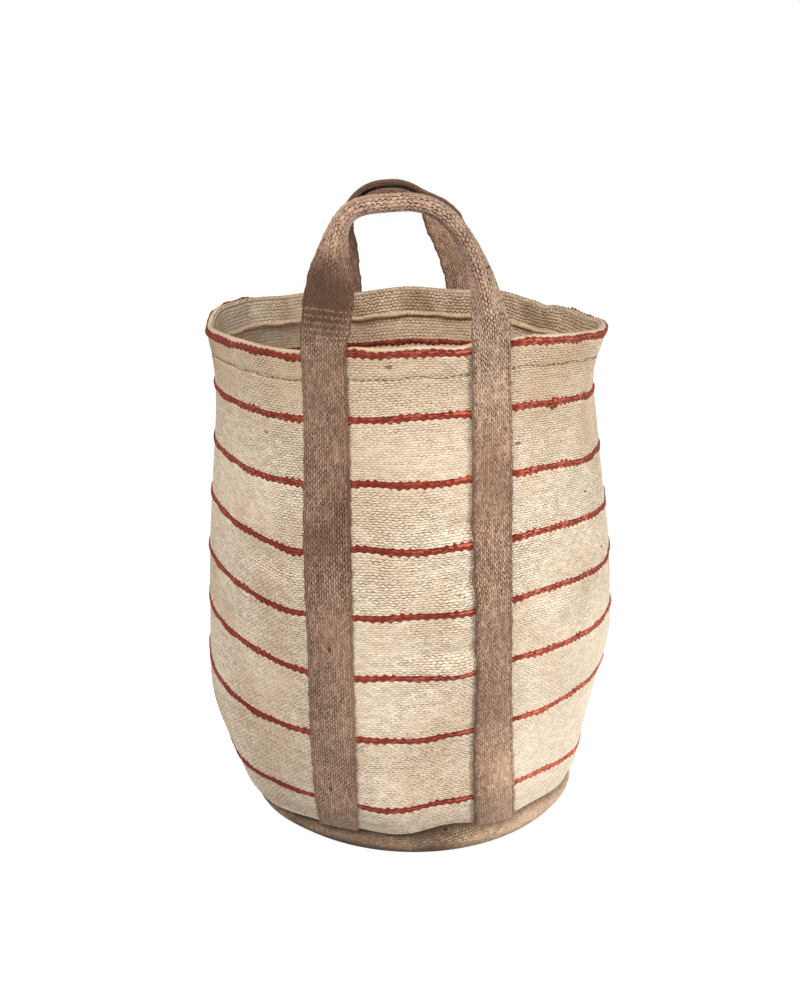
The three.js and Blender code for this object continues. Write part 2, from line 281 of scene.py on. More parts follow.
def waves(run, sizes, starts=(0, 1)):
    """A sum of sine waves, each with its reach and its rate along the run."""
    return sum(reach * np.sin(rate * run + start) for (reach, rate), start in zip(sizes, starts))


# Meshes

def finished(name, work):
    """A mesh of what has been built in a bmesh."""
    mesh = bpy.data.meshes.new(name)
    work.to_mesh(mesh)
    work.free()
    return mesh


def placed(name, data):
    """A new object in the scene."""
    made = bpy.data.objects.new(name, data)
    bpy.context.scene.collection.objects.link(made)
    return made


def woven(name, columns, rows, place, laps=1):
    """A grid of columns by rows. place() gives the points and weave cells of its column and row numbers.

    The weave cells are its UV map. A second map lays the grid out in laps, one above another.
    """
    grid = bmesh.new()
    bmesh.ops.create_grid(grid, x_segments=columns, y_segments=rows, size=0.5)
    mesh = finished(name, grid)
    flat = np.empty(len(mesh.vertices) * 3)
    mesh.vertices.foreach_get("co", flat)
    column, row = np.rint((flat.reshape(-1, 3)[:, :2] + 0.5) * (columns, rows)).T
    points, cells = place(column, row)
    mesh.vertices.foreach_set("co", points.ravel())
    corner = np.empty(len(mesh.loops), int)
    mesh.loops.foreach_get("vertex_index", corner)
    mesh.uv_layers.new(name="weave").uv.foreach_set("vector", cells[corner].ravel())
    share = column[corner].reshape(-1, 4) * laps / columns
    lap = np.floor(share.min(axis=1, keepdims=True) + TINY)
    flat = np.stack([share - lap, (lap + row[corner].reshape(-1, 4) / rows) / laps], axis=-1)
    mesh.uv_layers.new(name="OFBake").uv.foreach_set("vector", flat.ravel())
    return mesh


def piece(name, meshes, finish, replaces=()):
    """One object of these meshes, with their seams merged, their ends closed and their faces pointing out."""
    body = bmesh.new()
    for mesh in meshes:
        body.from_mesh(mesh)
        bpy.data.meshes.remove(mesh)
    bmesh.ops.remove_doubles(body, verts=body.verts, dist=TINY)
    bmesh.ops.holes_fill(body, edges=[edge for edge in body.edges if edge.is_boundary])
    bmesh.ops.recalc_face_normals(body, faces=body.faces)
    joined = finished(name, body)
    joined.shade_smooth()
    joined.materials.append(finish.material)
    made = placed(name, joined)
    if replaces:
        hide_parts(*replaces)
    return made


# Materials

class Value:
    """A socket whose value varies over a surface. Arithmetic on it adds Math nodes."""

    def __init__(self, nodes, socket):
        self.nodes = nodes
        self.socket = socket

    def math(self, operation, *others):
        return self.nodes.math(operation, self, *others)

    def __add__(self, other):
        return self.math("ADD", other)

    def __sub__(self, other):
        return self.math("SUBTRACT", other)

    def __rsub__(self, other):
        return self.nodes.math("SUBTRACT", other, self)

    def __mul__(self, other):
        return self.math("MULTIPLY", other)

    __radd__ = __add__
    __rmul__ = __mul__

    def between(self, low, high):
        """Low where this is 0 and high where it is 1."""
        return self * (high - low) + low

    def capped(self):
        return self.math("MINIMUM", 1.0)


class Nodes:
    """The nodes of a material or of the world."""

    def __init__(self, tree):
        self.tree = tree

    def feed(self, socket, value):
        if isinstance(value, Value):
            self.tree.links.new(value.socket, socket)
        else:
            socket.default_value = value

    def add(self, kind, settings=None, inputs=None, output=0):
        """Adds a node with these settings and socket values or links, and returns one of its outputs."""
        node = self.tree.nodes.new(kind)
        for key, value in (settings or {}).items():
            setattr(node, key, value)
        for key, value in (inputs or {}).items():
            self.feed(node.inputs[key], value)
        return Value(self, node.outputs[output])

    def math(self, operation, *values):
        return self.add("ShaderNodeMath", {"operation": operation}, dict(enumerate(values)))

    def mix(self, share, first, second):
        """A colour between two others."""
        return self.add("ShaderNodeMix", {"data_type": "RGBA"}, {0: share, 6: first, 7: second}, output=2)

    def ease(self, value, low, high):
        """0 at low, 1 at high and smooth between them."""
        sockets = {"Value": value, "From Min": low, "From Max": high}
        return self.add("ShaderNodeMapRange", {"interpolation_type": "SMOOTHSTEP"}, sockets)


class Finish(Nodes):
    """A material in the making: its nodes and the shader that they feed."""

    def __init__(self, name):
        self.material = bpy.data.materials.new(name)
        self.material.use_nodes = True
        super().__init__(self.material.node_tree)
        self.shader = self.tree.nodes["Principled BSDF"]

    def dress(self, inputs):
        """Feeds the shader's sockets, by their names."""
        for key, value in inputs.items():
            self.feed(self.shader.inputs[key], value)

    def place(self):
        return self.add("ShaderNodeTexCoord", output="Object")

    def parts(self, vector, count):
        return [self.add("ShaderNodeSeparateXYZ", None, {0: vector}, output=axis) for axis in range(count)]

    def point(self, x, y):
        return self.add("ShaderNodeCombineXYZ", None, {0: x, 1: y})

    def from_middle(self, x, y):
        sockets = {0: self.point(x, y), 1: (0, 0, 0)}
        return self.add("ShaderNodeVectorMath", {"operation": "DISTANCE"}, sockets, output=1)

    def weave(self):
        """The weave cells of the surface: along the yarn and across it."""
        return self.parts(self.add("ShaderNodeUVMap", {"uv_map": "weave"}), 2)

    def noise(self, place, scale, detail=2.0):
        return self.add("ShaderNodeTexNoise", None, {"Vector": place, "Scale": scale, "Detail": detail})

    def grain(self, along, across, long, tall, start=0, detail=2.0):
        """Noise on the weave cells, scaled along and across."""
        return self.noise(self.point(along * long + start, across * tall), 1.0, detail)

    def speckle(self, x, y):
        """A random number for each whole x and y."""
        return self.add("ShaderNodeTexWhiteNoise", {"noise_dimensions": "2D"}, {"Vector": self.point(x, y)})

    def relief(self, height, distance, strength):
        sockets = {"Height": height, "Distance": distance, "Strength": strength}
        return self.add("ShaderNodeBump", None, sockets)


def srgb(*seen):
    """A colour as seen on a screen, from 0 to 255, made linear."""
    parts = [part / 255 for part in seen]
    return [p / 12.92 if p <= 0.04045 else ((p + 0.055) / 1.055) ** 2.4 for p in parts] + [1]


# Yarn: the inside colour is a painted warm shade of the inner face; the shares for the left and the low edge
# are painted shade; the webbing flag adds painted light and shade.
Yarn = namedtuple(
    "Yarn",
    "light dark gap blotch slant gap_from gap_sides furrow uneven waver inside darker_left darker_low worn",
    defaults=[None, 0, 0, False])

# Noise that shifts the floats, and noise of the fibres: scales along and across, start and detail
DRIFT_GRAIN = (0.4, 0.9)
DRIFT_REACH = 0.8
BOB_GRAIN = (0.9, 0.35, 40)
FIBRE_GRAIN = (3, 9, 0, 3.0)
FIBRE_DARK = 0.7
FIBRE_RELIEF = 0.5

# Gaps between the floats
GAP_SOFT = 0.16
GAP_DEPTHS = (0.35, 1.45)
GAP_SCRAMBLE = 7
PATCH_SCALE = 16.0
PATCH_SHOWS = (0.3, 0.65)
PATCH_GAPS = (0.5, 1.0)
KNOT = (0.9994, 0.9996)
KNOT_DARK = 0.7
BUMP = 0.0008
BUMP_STRENGTH = 0.8

# Blotches, painted shade to the left, along the base's low edge and at the top, and painted light at the low
# right of the front
BLOTCH_NOISE = (14.0, 3.0)
BLOTCH_SHOWS = (0.42, 0.72)
BLOTCH_SHARE = 0.55
# Painted light at the low right of the front: fewer gaps, blotches and dark floats there
PAINTED_LIGHT_PLACE = ((0.02, 0.10), (0.06, -0.02), (0.26, 0.06))
PAINTED_LIGHT_GAPS = 0.55
PAINTED_LIGHT_BLOTCHES = 0.2
PAINTED_LIGHT_DARK = 0.65
# Painted shade to the left, along the base's low edge and towards the top of the outer face
LEFT_X = (0.08, -0.05)
LOW_EDGE_Z = (0.012, 0.004)
LOW_EDGE_RADIUS = (0.132, 0.138)
TOP_Z = (0.28, 0.40)
TOP_SHADE_SHARE = (0.6, 0.1)

# Pick numbers: the last one of an outer face, the first of the hem and the first of the wall inside
LAST_PICK = 60
HEM_PICK = 100
INNER_PICK = 120

# Inside of the bag: painted warm shade and painted shade in the hem's folds. Its shares and gaps are in
# pairs, for the left and for the rest.
OFF_LEFT_X = (-0.13, -0.03)
# The painted shade is less on the left, where light falls in
INSIDE_SHADE_SHARE = (0.04, 0.30)
# Painted shade of the hem's soft folds, from slanted noise
FOLD_LONG = 0.14
FOLD_TALL = 0.05
FOLD_SHOWS = (0.40, 0.68)
FOLD_SHADE_SHARE = (0.18, 0.60)
FOLD_SHADE_COLOUR = (0.25, 0.13, 0.055, 1)
HEM_GAPS = (-0.3, 0.7)
WALL_GAPS = (-0.48, -0.08)
# Painted highlight at the top of each outer face, where the cloth rises to the stripe above: fewer gaps there
LIT_RIDGE_FROM = (LAST_PICK - 1.4, LAST_PICK - 0.6)
LIT_RIDGE_TO = (LAST_PICK + 2.5, LAST_PICK + 1.5)

# Webbing marks and painted light and shade, in dashes from the front handle's left foot. The rear strap's
# have higher numbers.
LEFT_FOOT_DASH = 200
REAR_DASHES = 1000
REAR_FROM = (REAR_DASHES / 2, REAR_DASHES / 2 + 1)
# Painted shade on the rear strap
REAR_PAINTED_SHADE = 0.16
# Painted highlight on the front handle's arch, stronger towards its right
LIT_ARCH_LEFT = (-14, -22)
LIT_ARCH_RIGHT = (-84, -74)
LIT_ARCH_BRIGHTER = (-50, -62)
LIT_ARCH_SHARE = (0.14, 0.26)
LOW_END = (50, 85)
LOW_END_SHARE = 0.12
PALE_WEBBING_COLOUR = (0.95, 0.72, 0.54, 1)
# Painted shadow at the top of the front handle's left leg, where its fold turns from the light
LEG_SHADOW_DASH = -9
LEG_SHADOW_RIB = 11.7
LEG_SHADOW_REACH = (0.038, 0.012)
LEG_SHADOW_SHARE = 0.85
DARK_WEBBING_COLOUR = (0.074, 0.034, 0.017, 1)
STRAP_EDGE = (STRAP_RIBS - 0.3, STRAP_RIBS + 0.6)
STRAP_EDGE_DARK = 0.5
WEFT_ROWS = 0.83
WEFT_GRAIN = (0.9, 0.27)
WEFT_WIDTH = (0.28, 0.08)
WEFT_FIRST = (-8, -7)
WEFT_LAST = (0.5, -0.5)
WEFT_BREAKS = (0.8, 1.1)
WEFT_WHOLE = (0.36, 0.56)
WEFT_SHARE = 0.42
WEFT_COLOUR = (0.60, 0.41, 0.29, 1)


def open_weft(finish, shade, along, across, clear):
    """Broken rows of pale weft by the left foot of the front handle. Clear is 1 where no gap shows."""
    wavy = (along + finish.grain(along, across, *WEFT_GRAIN)) * WEFT_ROWS
    row = finish.ease((wavy.math("FRACT") - 0.5).math("ABSOLUTE"), *WEFT_WIDTH)
    dash = along - LEFT_FOOT_DASH
    row = row * finish.ease(dash, *WEFT_FIRST) * finish.ease(dash, *WEFT_LAST)
    whole = finish.ease(finish.grain(along, across, *WEFT_BREAKS), *WEFT_WHOLE)
    return finish.mix(row * whole * clear * WEFT_SHARE, shade, WEFT_COLOUR)


def webbing_weft_and_light(finish, shade, along, across, clear):
    """Painted highlight on the front handle's arch, painted shadow at its left leg's top, open weft, the pale
    end of a leg, the dark edges and painted shade on the rear strap.
    """
    dash = along - LEFT_FOOT_DASH
    # Painted highlight on the arch, where it faces the light
    lit_arch = finish.ease(dash, *LIT_ARCH_LEFT) * finish.ease(dash, *LIT_ARCH_RIGHT)
    highlight_share = finish.ease(dash, *LIT_ARCH_BRIGHTER).between(*LIT_ARCH_SHARE)
    shade = finish.mix(lit_arch * clear * highlight_share, shade, PALE_WEBBING_COLOUR)
    # Painted shadow at the top of the left leg
    away = finish.from_middle((dash - LEG_SHADOW_DASH) * STRAP_FLOAT, (across - LEG_SHADOW_RIB) * STRAP_RIB)
    shade = finish.mix(finish.ease(away, *LEG_SHADOW_REACH) * LEG_SHADOW_SHARE, shade, DARK_WEBBING_COLOUR)
    shade = open_weft(finish, shade, along, across, clear)
    # Painted shade on the rear strap, which faces away from the light
    rear = finish.ease(dash, *REAR_FROM)
    low_end = finish.ease(dash, *LOW_END) * (1 - rear)
    shade = finish.mix(low_end * clear * LOW_END_SHARE, shade, PALE_WEBBING_COLOUR)
    in_face = (across * (1 / FACE_RIBS)).math("FRACT") * FACE_RIBS
    edge = finish.ease(in_face, *STRAP_EDGE)
    return finish.mix(edge * STRAP_EDGE_DARK + rear * REAR_PAINTED_SHADE, shade, DARK_WEBBING_COLOUR)


def inner_cloth(finish, yarn, shade, gap, along, across, x):
    """Shade and gap with those of the hem and the wall under it: a painted warm shade, and painted shade of
    soft folds in the hem.
    """
    hem = finish.ease(across, HEM_PICK - 1, HEM_PICK) * finish.ease(across, INNER_PICK, INNER_PICK - 1)
    wall = finish.ease(across, INNER_PICK - 1, INNER_PICK)
    off_left = finish.ease(x, *OFF_LEFT_X)
    # Painted warm shade on the hem and the wall inside, less on the left, where light falls in
    shade = finish.mix((hem + wall) * off_left.between(*INSIDE_SHADE_SHARE), shade, yarn.inside)
    # Painted shade of soft folds in the hem
    slanting = finish.point(along * FOLD_LONG + across * FOLD_TALL, across * FOLD_TALL)
    fold_shade = finish.ease(finish.noise(slanting, 1.0), *FOLD_SHOWS)
    shade = finish.mix(hem * fold_shade * off_left.between(*FOLD_SHADE_SHARE), shade, FOLD_SHADE_COLOUR)
    # Painted highlight: fewer gaps where the cloth rises to the stripe above, and on the rim's fold
    lit_ridge = finish.ease(across, *LIT_RIDGE_FROM) * finish.ease(across, *LIT_RIDGE_TO)
    wider = 1 + hem * off_left.between(*HEM_GAPS) + wall * off_left.between(*WALL_GAPS)
    return shade, (gap * (1 - lit_ridge) * wider).capped()


def floats(finish, yarn, along, across):
    """A number of its own for each float, and the gaps between them. Rows stagger, waver and slant."""
    drift = finish.grain(along, across, *DRIFT_GRAIN) - 0.5
    bob = finish.grain(along, across, *BOB_GRAIN) - 0.5
    level = across + bob * yarn.waver
    row = level.math("FLOOR")
    odd = row.math("FLOORED_MODULO", 2)
    shifted = along + odd * 0.5 + drift * DRIFT_REACH
    in_float = shifted.math("FRACT") - 0.5
    in_row = level.math("FRACT") - 0.5
    own = finish.speckle(shifted.math("FLOOR"), row)
    slanted = (in_float + in_row * odd.between(yarn.slant, -yarn.slant)).math("ABSOLUTE")
    ends = finish.ease(slanted, yarn.gap_from, yarn.gap_from + GAP_SOFT)
    sides = finish.ease(in_row.math("ABSOLUTE"), *yarn.gap_sides)
    depth = (own * GAP_SCRAMBLE).math("FRACT").between(*GAP_DEPTHS)
    return own, sides * (ends * depth + yarn.furrow)


def blotches_and_shade(finish, yarn, across, painted_light):
    """How far each place takes the blotch colour: random patches, and painted shade to the left, along the
    base's low edge and towards the top.
    """
    place = finish.place()
    x, y, z = finish.parts(place, 3)
    patches = finish.ease(finish.noise(place, *BLOTCH_NOISE), *BLOTCH_SHOWS) * BLOTCH_SHARE
    # Fewer blotches under the painted light at the low right
    total = patches * painted_light.between(1, PAINTED_LIGHT_BLOTCHES)
    # Painted shade: darker to the left, away from the light
    if yarn.darker_left:
        total = total + finish.ease(x, *LEFT_X) * yarn.darker_left
    # Painted shade along the base's low edge, by the floor
    if yarn.darker_low:
        low_edge = finish.ease(z, *LOW_EDGE_Z) * finish.ease(finish.from_middle(x, y), *LOW_EDGE_RADIUS)
        total = total + low_edge * yarn.darker_low
    # Painted shade towards the top of the outer face, little of it on the hem and wall inside
    if yarn.inside:
        inner = finish.ease(across, HEM_PICK - 1, HEM_PICK)
        total = total + finish.ease(z, *TOP_Z) * inner.between(*TOP_SHADE_SHARE)
    return total.capped()


def yarn_finish(name, yarn):
    """Cloth of staggered yarn floats, each of its own shade, with dark gaps between them and fine fibres."""
    finish = Finish(name)
    along, across = finish.weave()
    place = finish.place()
    sides = finish.parts(place, 3)
    own, gap = floats(finish, yarn, along, across)
    fibres = finish.grain(along, across, *FIBRE_GRAIN)
    # Painted light: the low right of the front is lighter, with fewer gaps, blotches and dark floats
    painted_light = math.prod(finish.ease(side, *reach) for side, reach in zip(sides, PAINTED_LIGHT_PLACE))
    patchy = finish.ease(finish.noise(place, PATCH_SCALE), *PATCH_SHOWS).between(*PATCH_GAPS)
    gap = (gap * patchy).capped() * painted_light.between(1, PAINTED_LIGHT_GAPS)
    darkness = (own * yarn.uneven + fibres * FIBRE_DARK) * painted_light.between(1, PAINTED_LIGHT_DARK)
    shade = finish.mix(darkness, yarn.light, yarn.dark)
    # The blotch colour shows random patches and painted shade
    shade = finish.mix(blotches_and_shade(finish, yarn, across, painted_light), shade, yarn.blotch)
    if yarn.inside:
        shade, gap = inner_cloth(finish, yarn, shade, gap, along, across, sides[0])
    gap = (gap + finish.ease(own, *KNOT) * KNOT_DARK).capped()
    shade = finish.mix(gap, shade, yarn.gap)
    # Painted light and shade on the webbing, its open weft and its other marks
    if yarn.worn:
        shade = webbing_weft_and_light(finish, shade, along, across, 1 - gap)
    finish.dress({
        "Base Color": shade,
        "Normal": finish.relief(1 - gap + fibres * FIBRE_RELIEF, BUMP, BUMP_STRENGTH),
        "Roughness": 0.95,
        "Specular IOR Level": 0.15,
        "Sheen Weight": 0.1,
        "Sheen Roughness": 0.6,
    })
    return finish


CREAM_JUTE = yarn_finish("cream_jute", Yarn(
    light=srgb(250, 239, 220), dark=srgb(210, 188, 161), gap=srgb(84, 58, 36), blotch=srgb(200, 174, 143),
    slant=0.15, gap_from=0.17, gap_sides=(0.1, 0.4), furrow=0.08, uneven=0.5, waver=1.3,
    # The inside colour is a painted warm shade of the cloth's inner face
    inside=srgb(226, 172, 122),
))
TAUPE_WEBBING = yarn_finish("taupe_webbing", Yarn(
    light=srgb(236, 201, 172), dark=srgb(142, 104, 81), gap=srgb(52, 22, 10), blotch=srgb(106, 73, 54),
    slant=0.3, gap_from=0.13, gap_sides=(0.0, 0.32), furrow=0.2, uneven=0.45, waver=1.2, darker_left=0.3,
    worn=True,
))
BROWN_JUTE = yarn_finish("brown_jute", Yarn(
    light=srgb(244, 214, 182), dark=srgb(170, 138, 109), gap=srgb(44, 28, 18), blotch=srgb(84, 62, 46),
    slant=0.3, gap_from=0.15, gap_sides=(0.05, 0.36), furrow=0.12, uneven=0.6, waver=1.2, darker_left=0.6,
    darker_low=0.45,
))
RUST_YARN = yarn_finish("rust_yarn", Yarn(
    light=srgb(246, 138, 100), dark=srgb(140, 44, 26), gap=srgb(64, 14, 8), blotch=srgb(132, 38, 22),
    slant=1.2, gap_from=0.16, gap_sides=(0.1, 0.4), furrow=0.12, uneven=1.0, waver=1.0, darker_left=0.5,
))
PALE_YARN = Yarn(
    light=srgb(250, 228, 196), dark=srgb(216, 186, 150), gap=srgb(104, 72, 46), blotch=srgb(204, 170, 132),
    slant=0.9, gap_from=0.25, gap_sides=(0.2, 0.45), furrow=0.05, uneven=0.5, waver=0.4,
)
PALE_JUTE = yarn_finish("pale_jute", PALE_YARN)
SEWING_THREAD = yarn_finish("sewing_thread", PALE_YARN._replace(
    light=srgb(176, 144, 113), dark=srgb(140, 108, 81), gap=srgb(78, 54, 38), blotch=srgb(140, 108, 81),
    furrow=0.1, uneven=0.6,
))

# Body cloth, in the bands that lie between the stripes

CLOTH_COLUMNS = FLOATS_ROUND * FLOAT_STEPS
FLOAT_PICKS = 256
FLOAT_RANGE = (0.6, 1.25)
FLOAT_THICKNESS = rng.uniform(*FLOAT_RANGE, (FLOAT_PICKS, FLOATS_ROUND))
Row = namedtuple("Row", "height inset relief pick")


def round_turn(column, columns):
    """Azimuth of a column. The grid opens and closes at the side seam."""
    return SIDE_SEAM_AZIMUTH + TURN * column / columns


def float_relief(along, pick):
    """How far the floats stand up at places along and across the picks, from 0 to about 1."""
    row = np.floor(pick + TINY)
    shifted = along + 0.5 * (row % 2)
    across = np.cos(np.pi * (pick - row - 0.5))
    thick = FLOAT_THICKNESS[row.astype(int) % FLOAT_PICKS, np.floor(shifted).astype(int) % FLOATS_ROUND]
    return np.cos(np.pi * (shifted % 1 - 0.5)) * across * thick


def cloth_ring(name, rows, start):
    """A closed ring of cloth from the rows round its section. Its floats are counted from a start number."""
    height, inset, relief, pick = (np.array(values) for values in zip(*rows))

    def place(column, row):
        row = row.astype(int) % len(rows)
        azimuth = round_turn(column, CLOTH_COLUMNS)
        along = start + column / FLOAT_STEPS
        stands = relief[row] * float_relief(along, pick[row])
        points = on_cloth(azimuth, height[row], inset[row] - stands)
        return points, np.stack([along, pick[row]], axis=-1)

    return woven(name, CLOTH_COLUMNS, len(rows), place, laps=3)


def picks_between(low, high):
    return max(1, round(abs(high - low) / PICK))


def face_rows(low, high, inset, relief, first_pick, coarse=1):
    """Rows of a face from low to high, two for each pick. Coarse makes its picks taller."""
    picks = picks_between(low, high)
    share = np.linspace(0, 1, 2 * picks + 1)
    return [Row(low + (high - low) * s, inset, relief, first_pick + picks * s / coarse) for s in share]


def outer_rows(low, high):
    """Rows of an outer face. Their picks end with the same number, at the stripe above."""
    return face_rows(low, high, 0, RELIEF, LAST_PICK - picks_between(low, high))


def round_sheet(depth, height):
    """Works out the girth of the bag at a height, and keeps nothing."""
    2 * math.pi * float(wall_radius(height))


STRIPE_TUCK = 0.0004
INNER_STEP = 0.005
INNER_COARSE = 1.6
BAND_FLOATS = 300
HEM_STITCH_DROP = 0.0205
HEM_CREASE = 0.0009
HEM_CREASE_TALL = 0.0018
HEM_START = 0.0022

# The fold of the rim over the first stripe: height above the rim, inset, and picks past the last one
CHANNEL_STEP = 0.0006
CHANNEL_DEPTH = 0.0012
RIM_FOLD = (
    (-0.0012, CHANNEL_DEPTH, 1),
    (0.0002, 0.0009, 1.5),
    (0.0010, 0.0018, 2),
    (0.0013, 0.0031, 2.5),
    (0.0008, HEM_THICKNESS - 0.0014, 3),
    (-0.0006, HEM_THICKNESS - 0.0004, 3.5),
)


def cloth_band(number, low, high):
    name = f"cloth_band_{number}"
    count = max(2, round((high - low) / INNER_STEP))
    inner = [
        Row(high + (low - high) * s, CLOTH, 0, INNER_PICK + (high - low) * (1 - s) / PICK)
        for s in np.linspace(0, 1, count + 1)
    ]
    ring = cloth_ring(name, outer_rows(low, high) + inner, BAND_FLOATS * number)
    band = piece(name, [ring], CREAM_JUTE)
    round_sheet(high - low, (low + high) / 2)
    return band


def rim_band(name, low):
    """The top band: outer face, the fold of the rim, the hem inside and the wall below it."""
    top = BAG_HEIGHT
    channel = top - STRIPE_DROPS[0] - STRIPE_WIDTH / 2 + STRIPE_TUCK
    stitch = top - HEM_STITCH_DROP
    outer = [
        row._replace(inset=HEM_CREASE * bell(row.height - stitch, HEM_CREASE_TALL))
        for row in outer_rows(low, channel)
    ]
    fold = [Row(channel + CHANNEL_STEP, CHANNEL_DEPTH, 0, LAST_PICK + 0.5)]
    fold += [Row(top + above, inset, 0, LAST_PICK + picks) for above, inset, picks in RIM_FOLD]
    hem_low = top - HEM_DEPTH
    hem = face_rows(top - HEM_START, hem_low, HEM_THICKNESS, -RELIEF, HEM_PICK, INNER_COARSE)
    under = face_rows(hem_low - GAP, low, CLOTH, -RELIEF, INNER_PICK, INNER_COARSE)
    band = piece(name, [cloth_ring(name, outer + fold + hem + under, 0)], CREAM_JUTE)
    round_sheet(top - low + HEM_DEPTH, (low + top) / 2)
    return band


# Rust stripes: twisted yarn on the outer and the inner face

ROPE_COLUMNS = 1600
ROPE_SIDES = 10
ROPE_CELLS = 8
ROPE_CROSSINGS = 170
ROPE_TALL = 0.0026
ROPE_DEEP = 0.0015
ROPE_SEAT = 0.0003
ROPE_LAY = 0.26
ROPE_SWELLS = ((0.10, 23), (0.06, 57))
ROPE_WAVER = ((0.0004, 31), (0.0003, 14))
ROPE_STARTS = 6

# The first stripe climbs onto the fold at two azimuths of the rim, and the second has a thick place.
RIM_CLIMBS = (math.radians(104), math.radians(-112))
RIM_CLIMB = 0.0028
RIM_CLIMB_SPREAD = math.radians(15)
RIM_CLIMB_INSET = 0.25
SLUB = 0.7
SLUB_AZIMUTH = math.radians(43)
SLUB_SPREAD = math.radians(1.6)


def rope_ring(name, height, tall, deep, crossings, inset, columns, climb=0, slub=0):
    """A two-ply yarn laid round the bag, thicker and thinner as it goes."""
    starts = rng.uniform(0, TURN, ROPE_STARTS)

    def place(column, row):
        azimuth = round_turn(column, columns)
        around = TURN * (row % ROPE_SIDES) / ROPE_SIDES
        turn = azimuth - SIDE_SEAM_AZIMUTH
        lay = 1 + ROPE_LAY * np.cos(2 * around + crossings * turn)
        thick = lay * (1 + waves(turn, ROPE_SWELLS, starts[:2]))
        thick = thick + slub * near_azimuth(azimuth, SLUB_AZIMUTH, SLUB_SPREAD)
        climbed = climb * sum(near_azimuth(azimuth, middle, RIM_CLIMB_SPREAD) for middle in RIM_CLIMBS)
        up = height + waves(turn, ROPE_WAVER, starts[2:4]) + climbed + tall * thick * np.sin(around)
        points = on_cloth(azimuth, up, inset + climbed * RIM_CLIMB_INSET - deep * thick * np.cos(around))
        return points, np.stack([turn * crossings / np.pi, ROPE_CELLS * row / ROPE_SIDES], axis=-1)

    return woven(name, columns, ROPE_SIDES, place, laps=6)


def stripe(number, drop):
    name = f"rust_stripe_{number}_yarn"
    rope = (BAG_HEIGHT - drop, ROPE_TALL, ROPE_DEEP, ROPE_CROSSINGS)
    climb = RIM_CLIMB if number == 1 else 0
    slub = SLUB if number == 2 else 0
    meshes = [rope_ring(name, *rope, inset=ROPE_SEAT, columns=ROPE_COLUMNS, climb=climb, slub=slub)]
    if number > 1:
        meshes.append(rope_ring(f"{name}_in", *rope, inset=CLOTH - ROPE_SEAT, columns=ROPE_COLUMNS // 2))
    made = piece(name, meshes, RUST_YARN, [f"rust_stripe_{number}"])
    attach(made, "bag")


HEM_YARN = 0.0019
HEM_YARN_SEAT = 0.0004
HEM_CROSSINGS = 300


def hem_edge():
    """The looped edge of the cloth, where the hem ends inside."""
    name = "hem_edge_yarn"
    height = BAG_HEIGHT - HEM_DEPTH + HEM_YARN / 2
    inset = HEM_THICKNESS + HEM_YARN_SEAT
    ring = rope_ring(name, height, HEM_YARN, HEM_YARN, HEM_CROSSINGS, inset, ROPE_COLUMNS)
    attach(piece(name, [ring], PALE_JUTE), "bag")


def build_body():
    heights = [BAG_HEIGHT - drop for drop in STRIPE_DROPS]
    half = STRIPE_WIDTH / 2 - STRIPE_TUCK
    bands = [rim_band("cloth_band_1", heights[1] + half)]
    for number, (top, below) in enumerate(zip(heights[1:], heights[2:] + [None]), start=2):
        low = SEAM_HEIGHT if below is None else below + half
        bands.append(cloth_band(number, low, top - half))
    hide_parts("body_panel")
    for band in bands:
        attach(band, "bag")
    for number, drop in enumerate(STRIPE_DROPS, start=1):
        stripe(number, drop)
    hem_edge()


# Base

BASE_COLUMNS = 880
BASE_CELL = 0.0019
BASE_CELL_LONG = 1.6 * BASE_CELL
BASE_MIDDLE_CELL = 60
BASE_RELIEF = 0.0004
BASE_RELIEF_FROM = (0.0005, 0.004)
BASE_FLAT_STEPS = 12
BASE_BEND_STEPS = 22


def base_section():
    """Radius, height and distance over the cloth from the middle, all round the section of the base."""
    turn = np.linspace(0, np.pi / 2, BASE_BEND_STEPS)
    rise = turn[1:]
    edge = BASE_EDGE_RADIUS - BASE_FLAT_RADIUS
    outer_radius = np.concatenate([
        np.linspace(0, BASE_FLAT_RADIUS, BASE_FLAT_STEPS, endpoint=False),
        BASE_FLAT_RADIUS + edge * np.sin(turn),
        BASE_TOP_RADIUS + (BASE_EDGE_RADIUS - BASE_TOP_RADIUS) * np.cos(rise),
    ])
    outer_height = np.concatenate([
        np.zeros(BASE_FLAT_STEPS),
        BASE_EDGE_HEIGHT * (1 - np.cos(turn)),
        BASE_EDGE_HEIGHT + (BASE_TOP_HEIGHT - BASE_EDGE_HEIGHT) * np.sin(rise),
    ])
    reach = np.concatenate([[0], np.cumsum(np.hypot(np.diff(outer_radius), np.diff(outer_height)))])
    inner_radius = np.maximum(outer_radius - BASE_CLOTH * ease(outer_height, 0, BASE_EDGE_HEIGHT), 0)
    level = 1 - ease(outer_height, 0, BASE_EDGE_HEIGHT)
    inner_height = np.maximum(outer_height + BASE_CLOTH * level, BASE_CLOTH)
    radius = np.concatenate([outer_radius, inner_radius[::-1]])
    height = np.concatenate([outer_height, inner_height[::-1]])
    return radius, height, np.concatenate([reach, reach[::-1]])


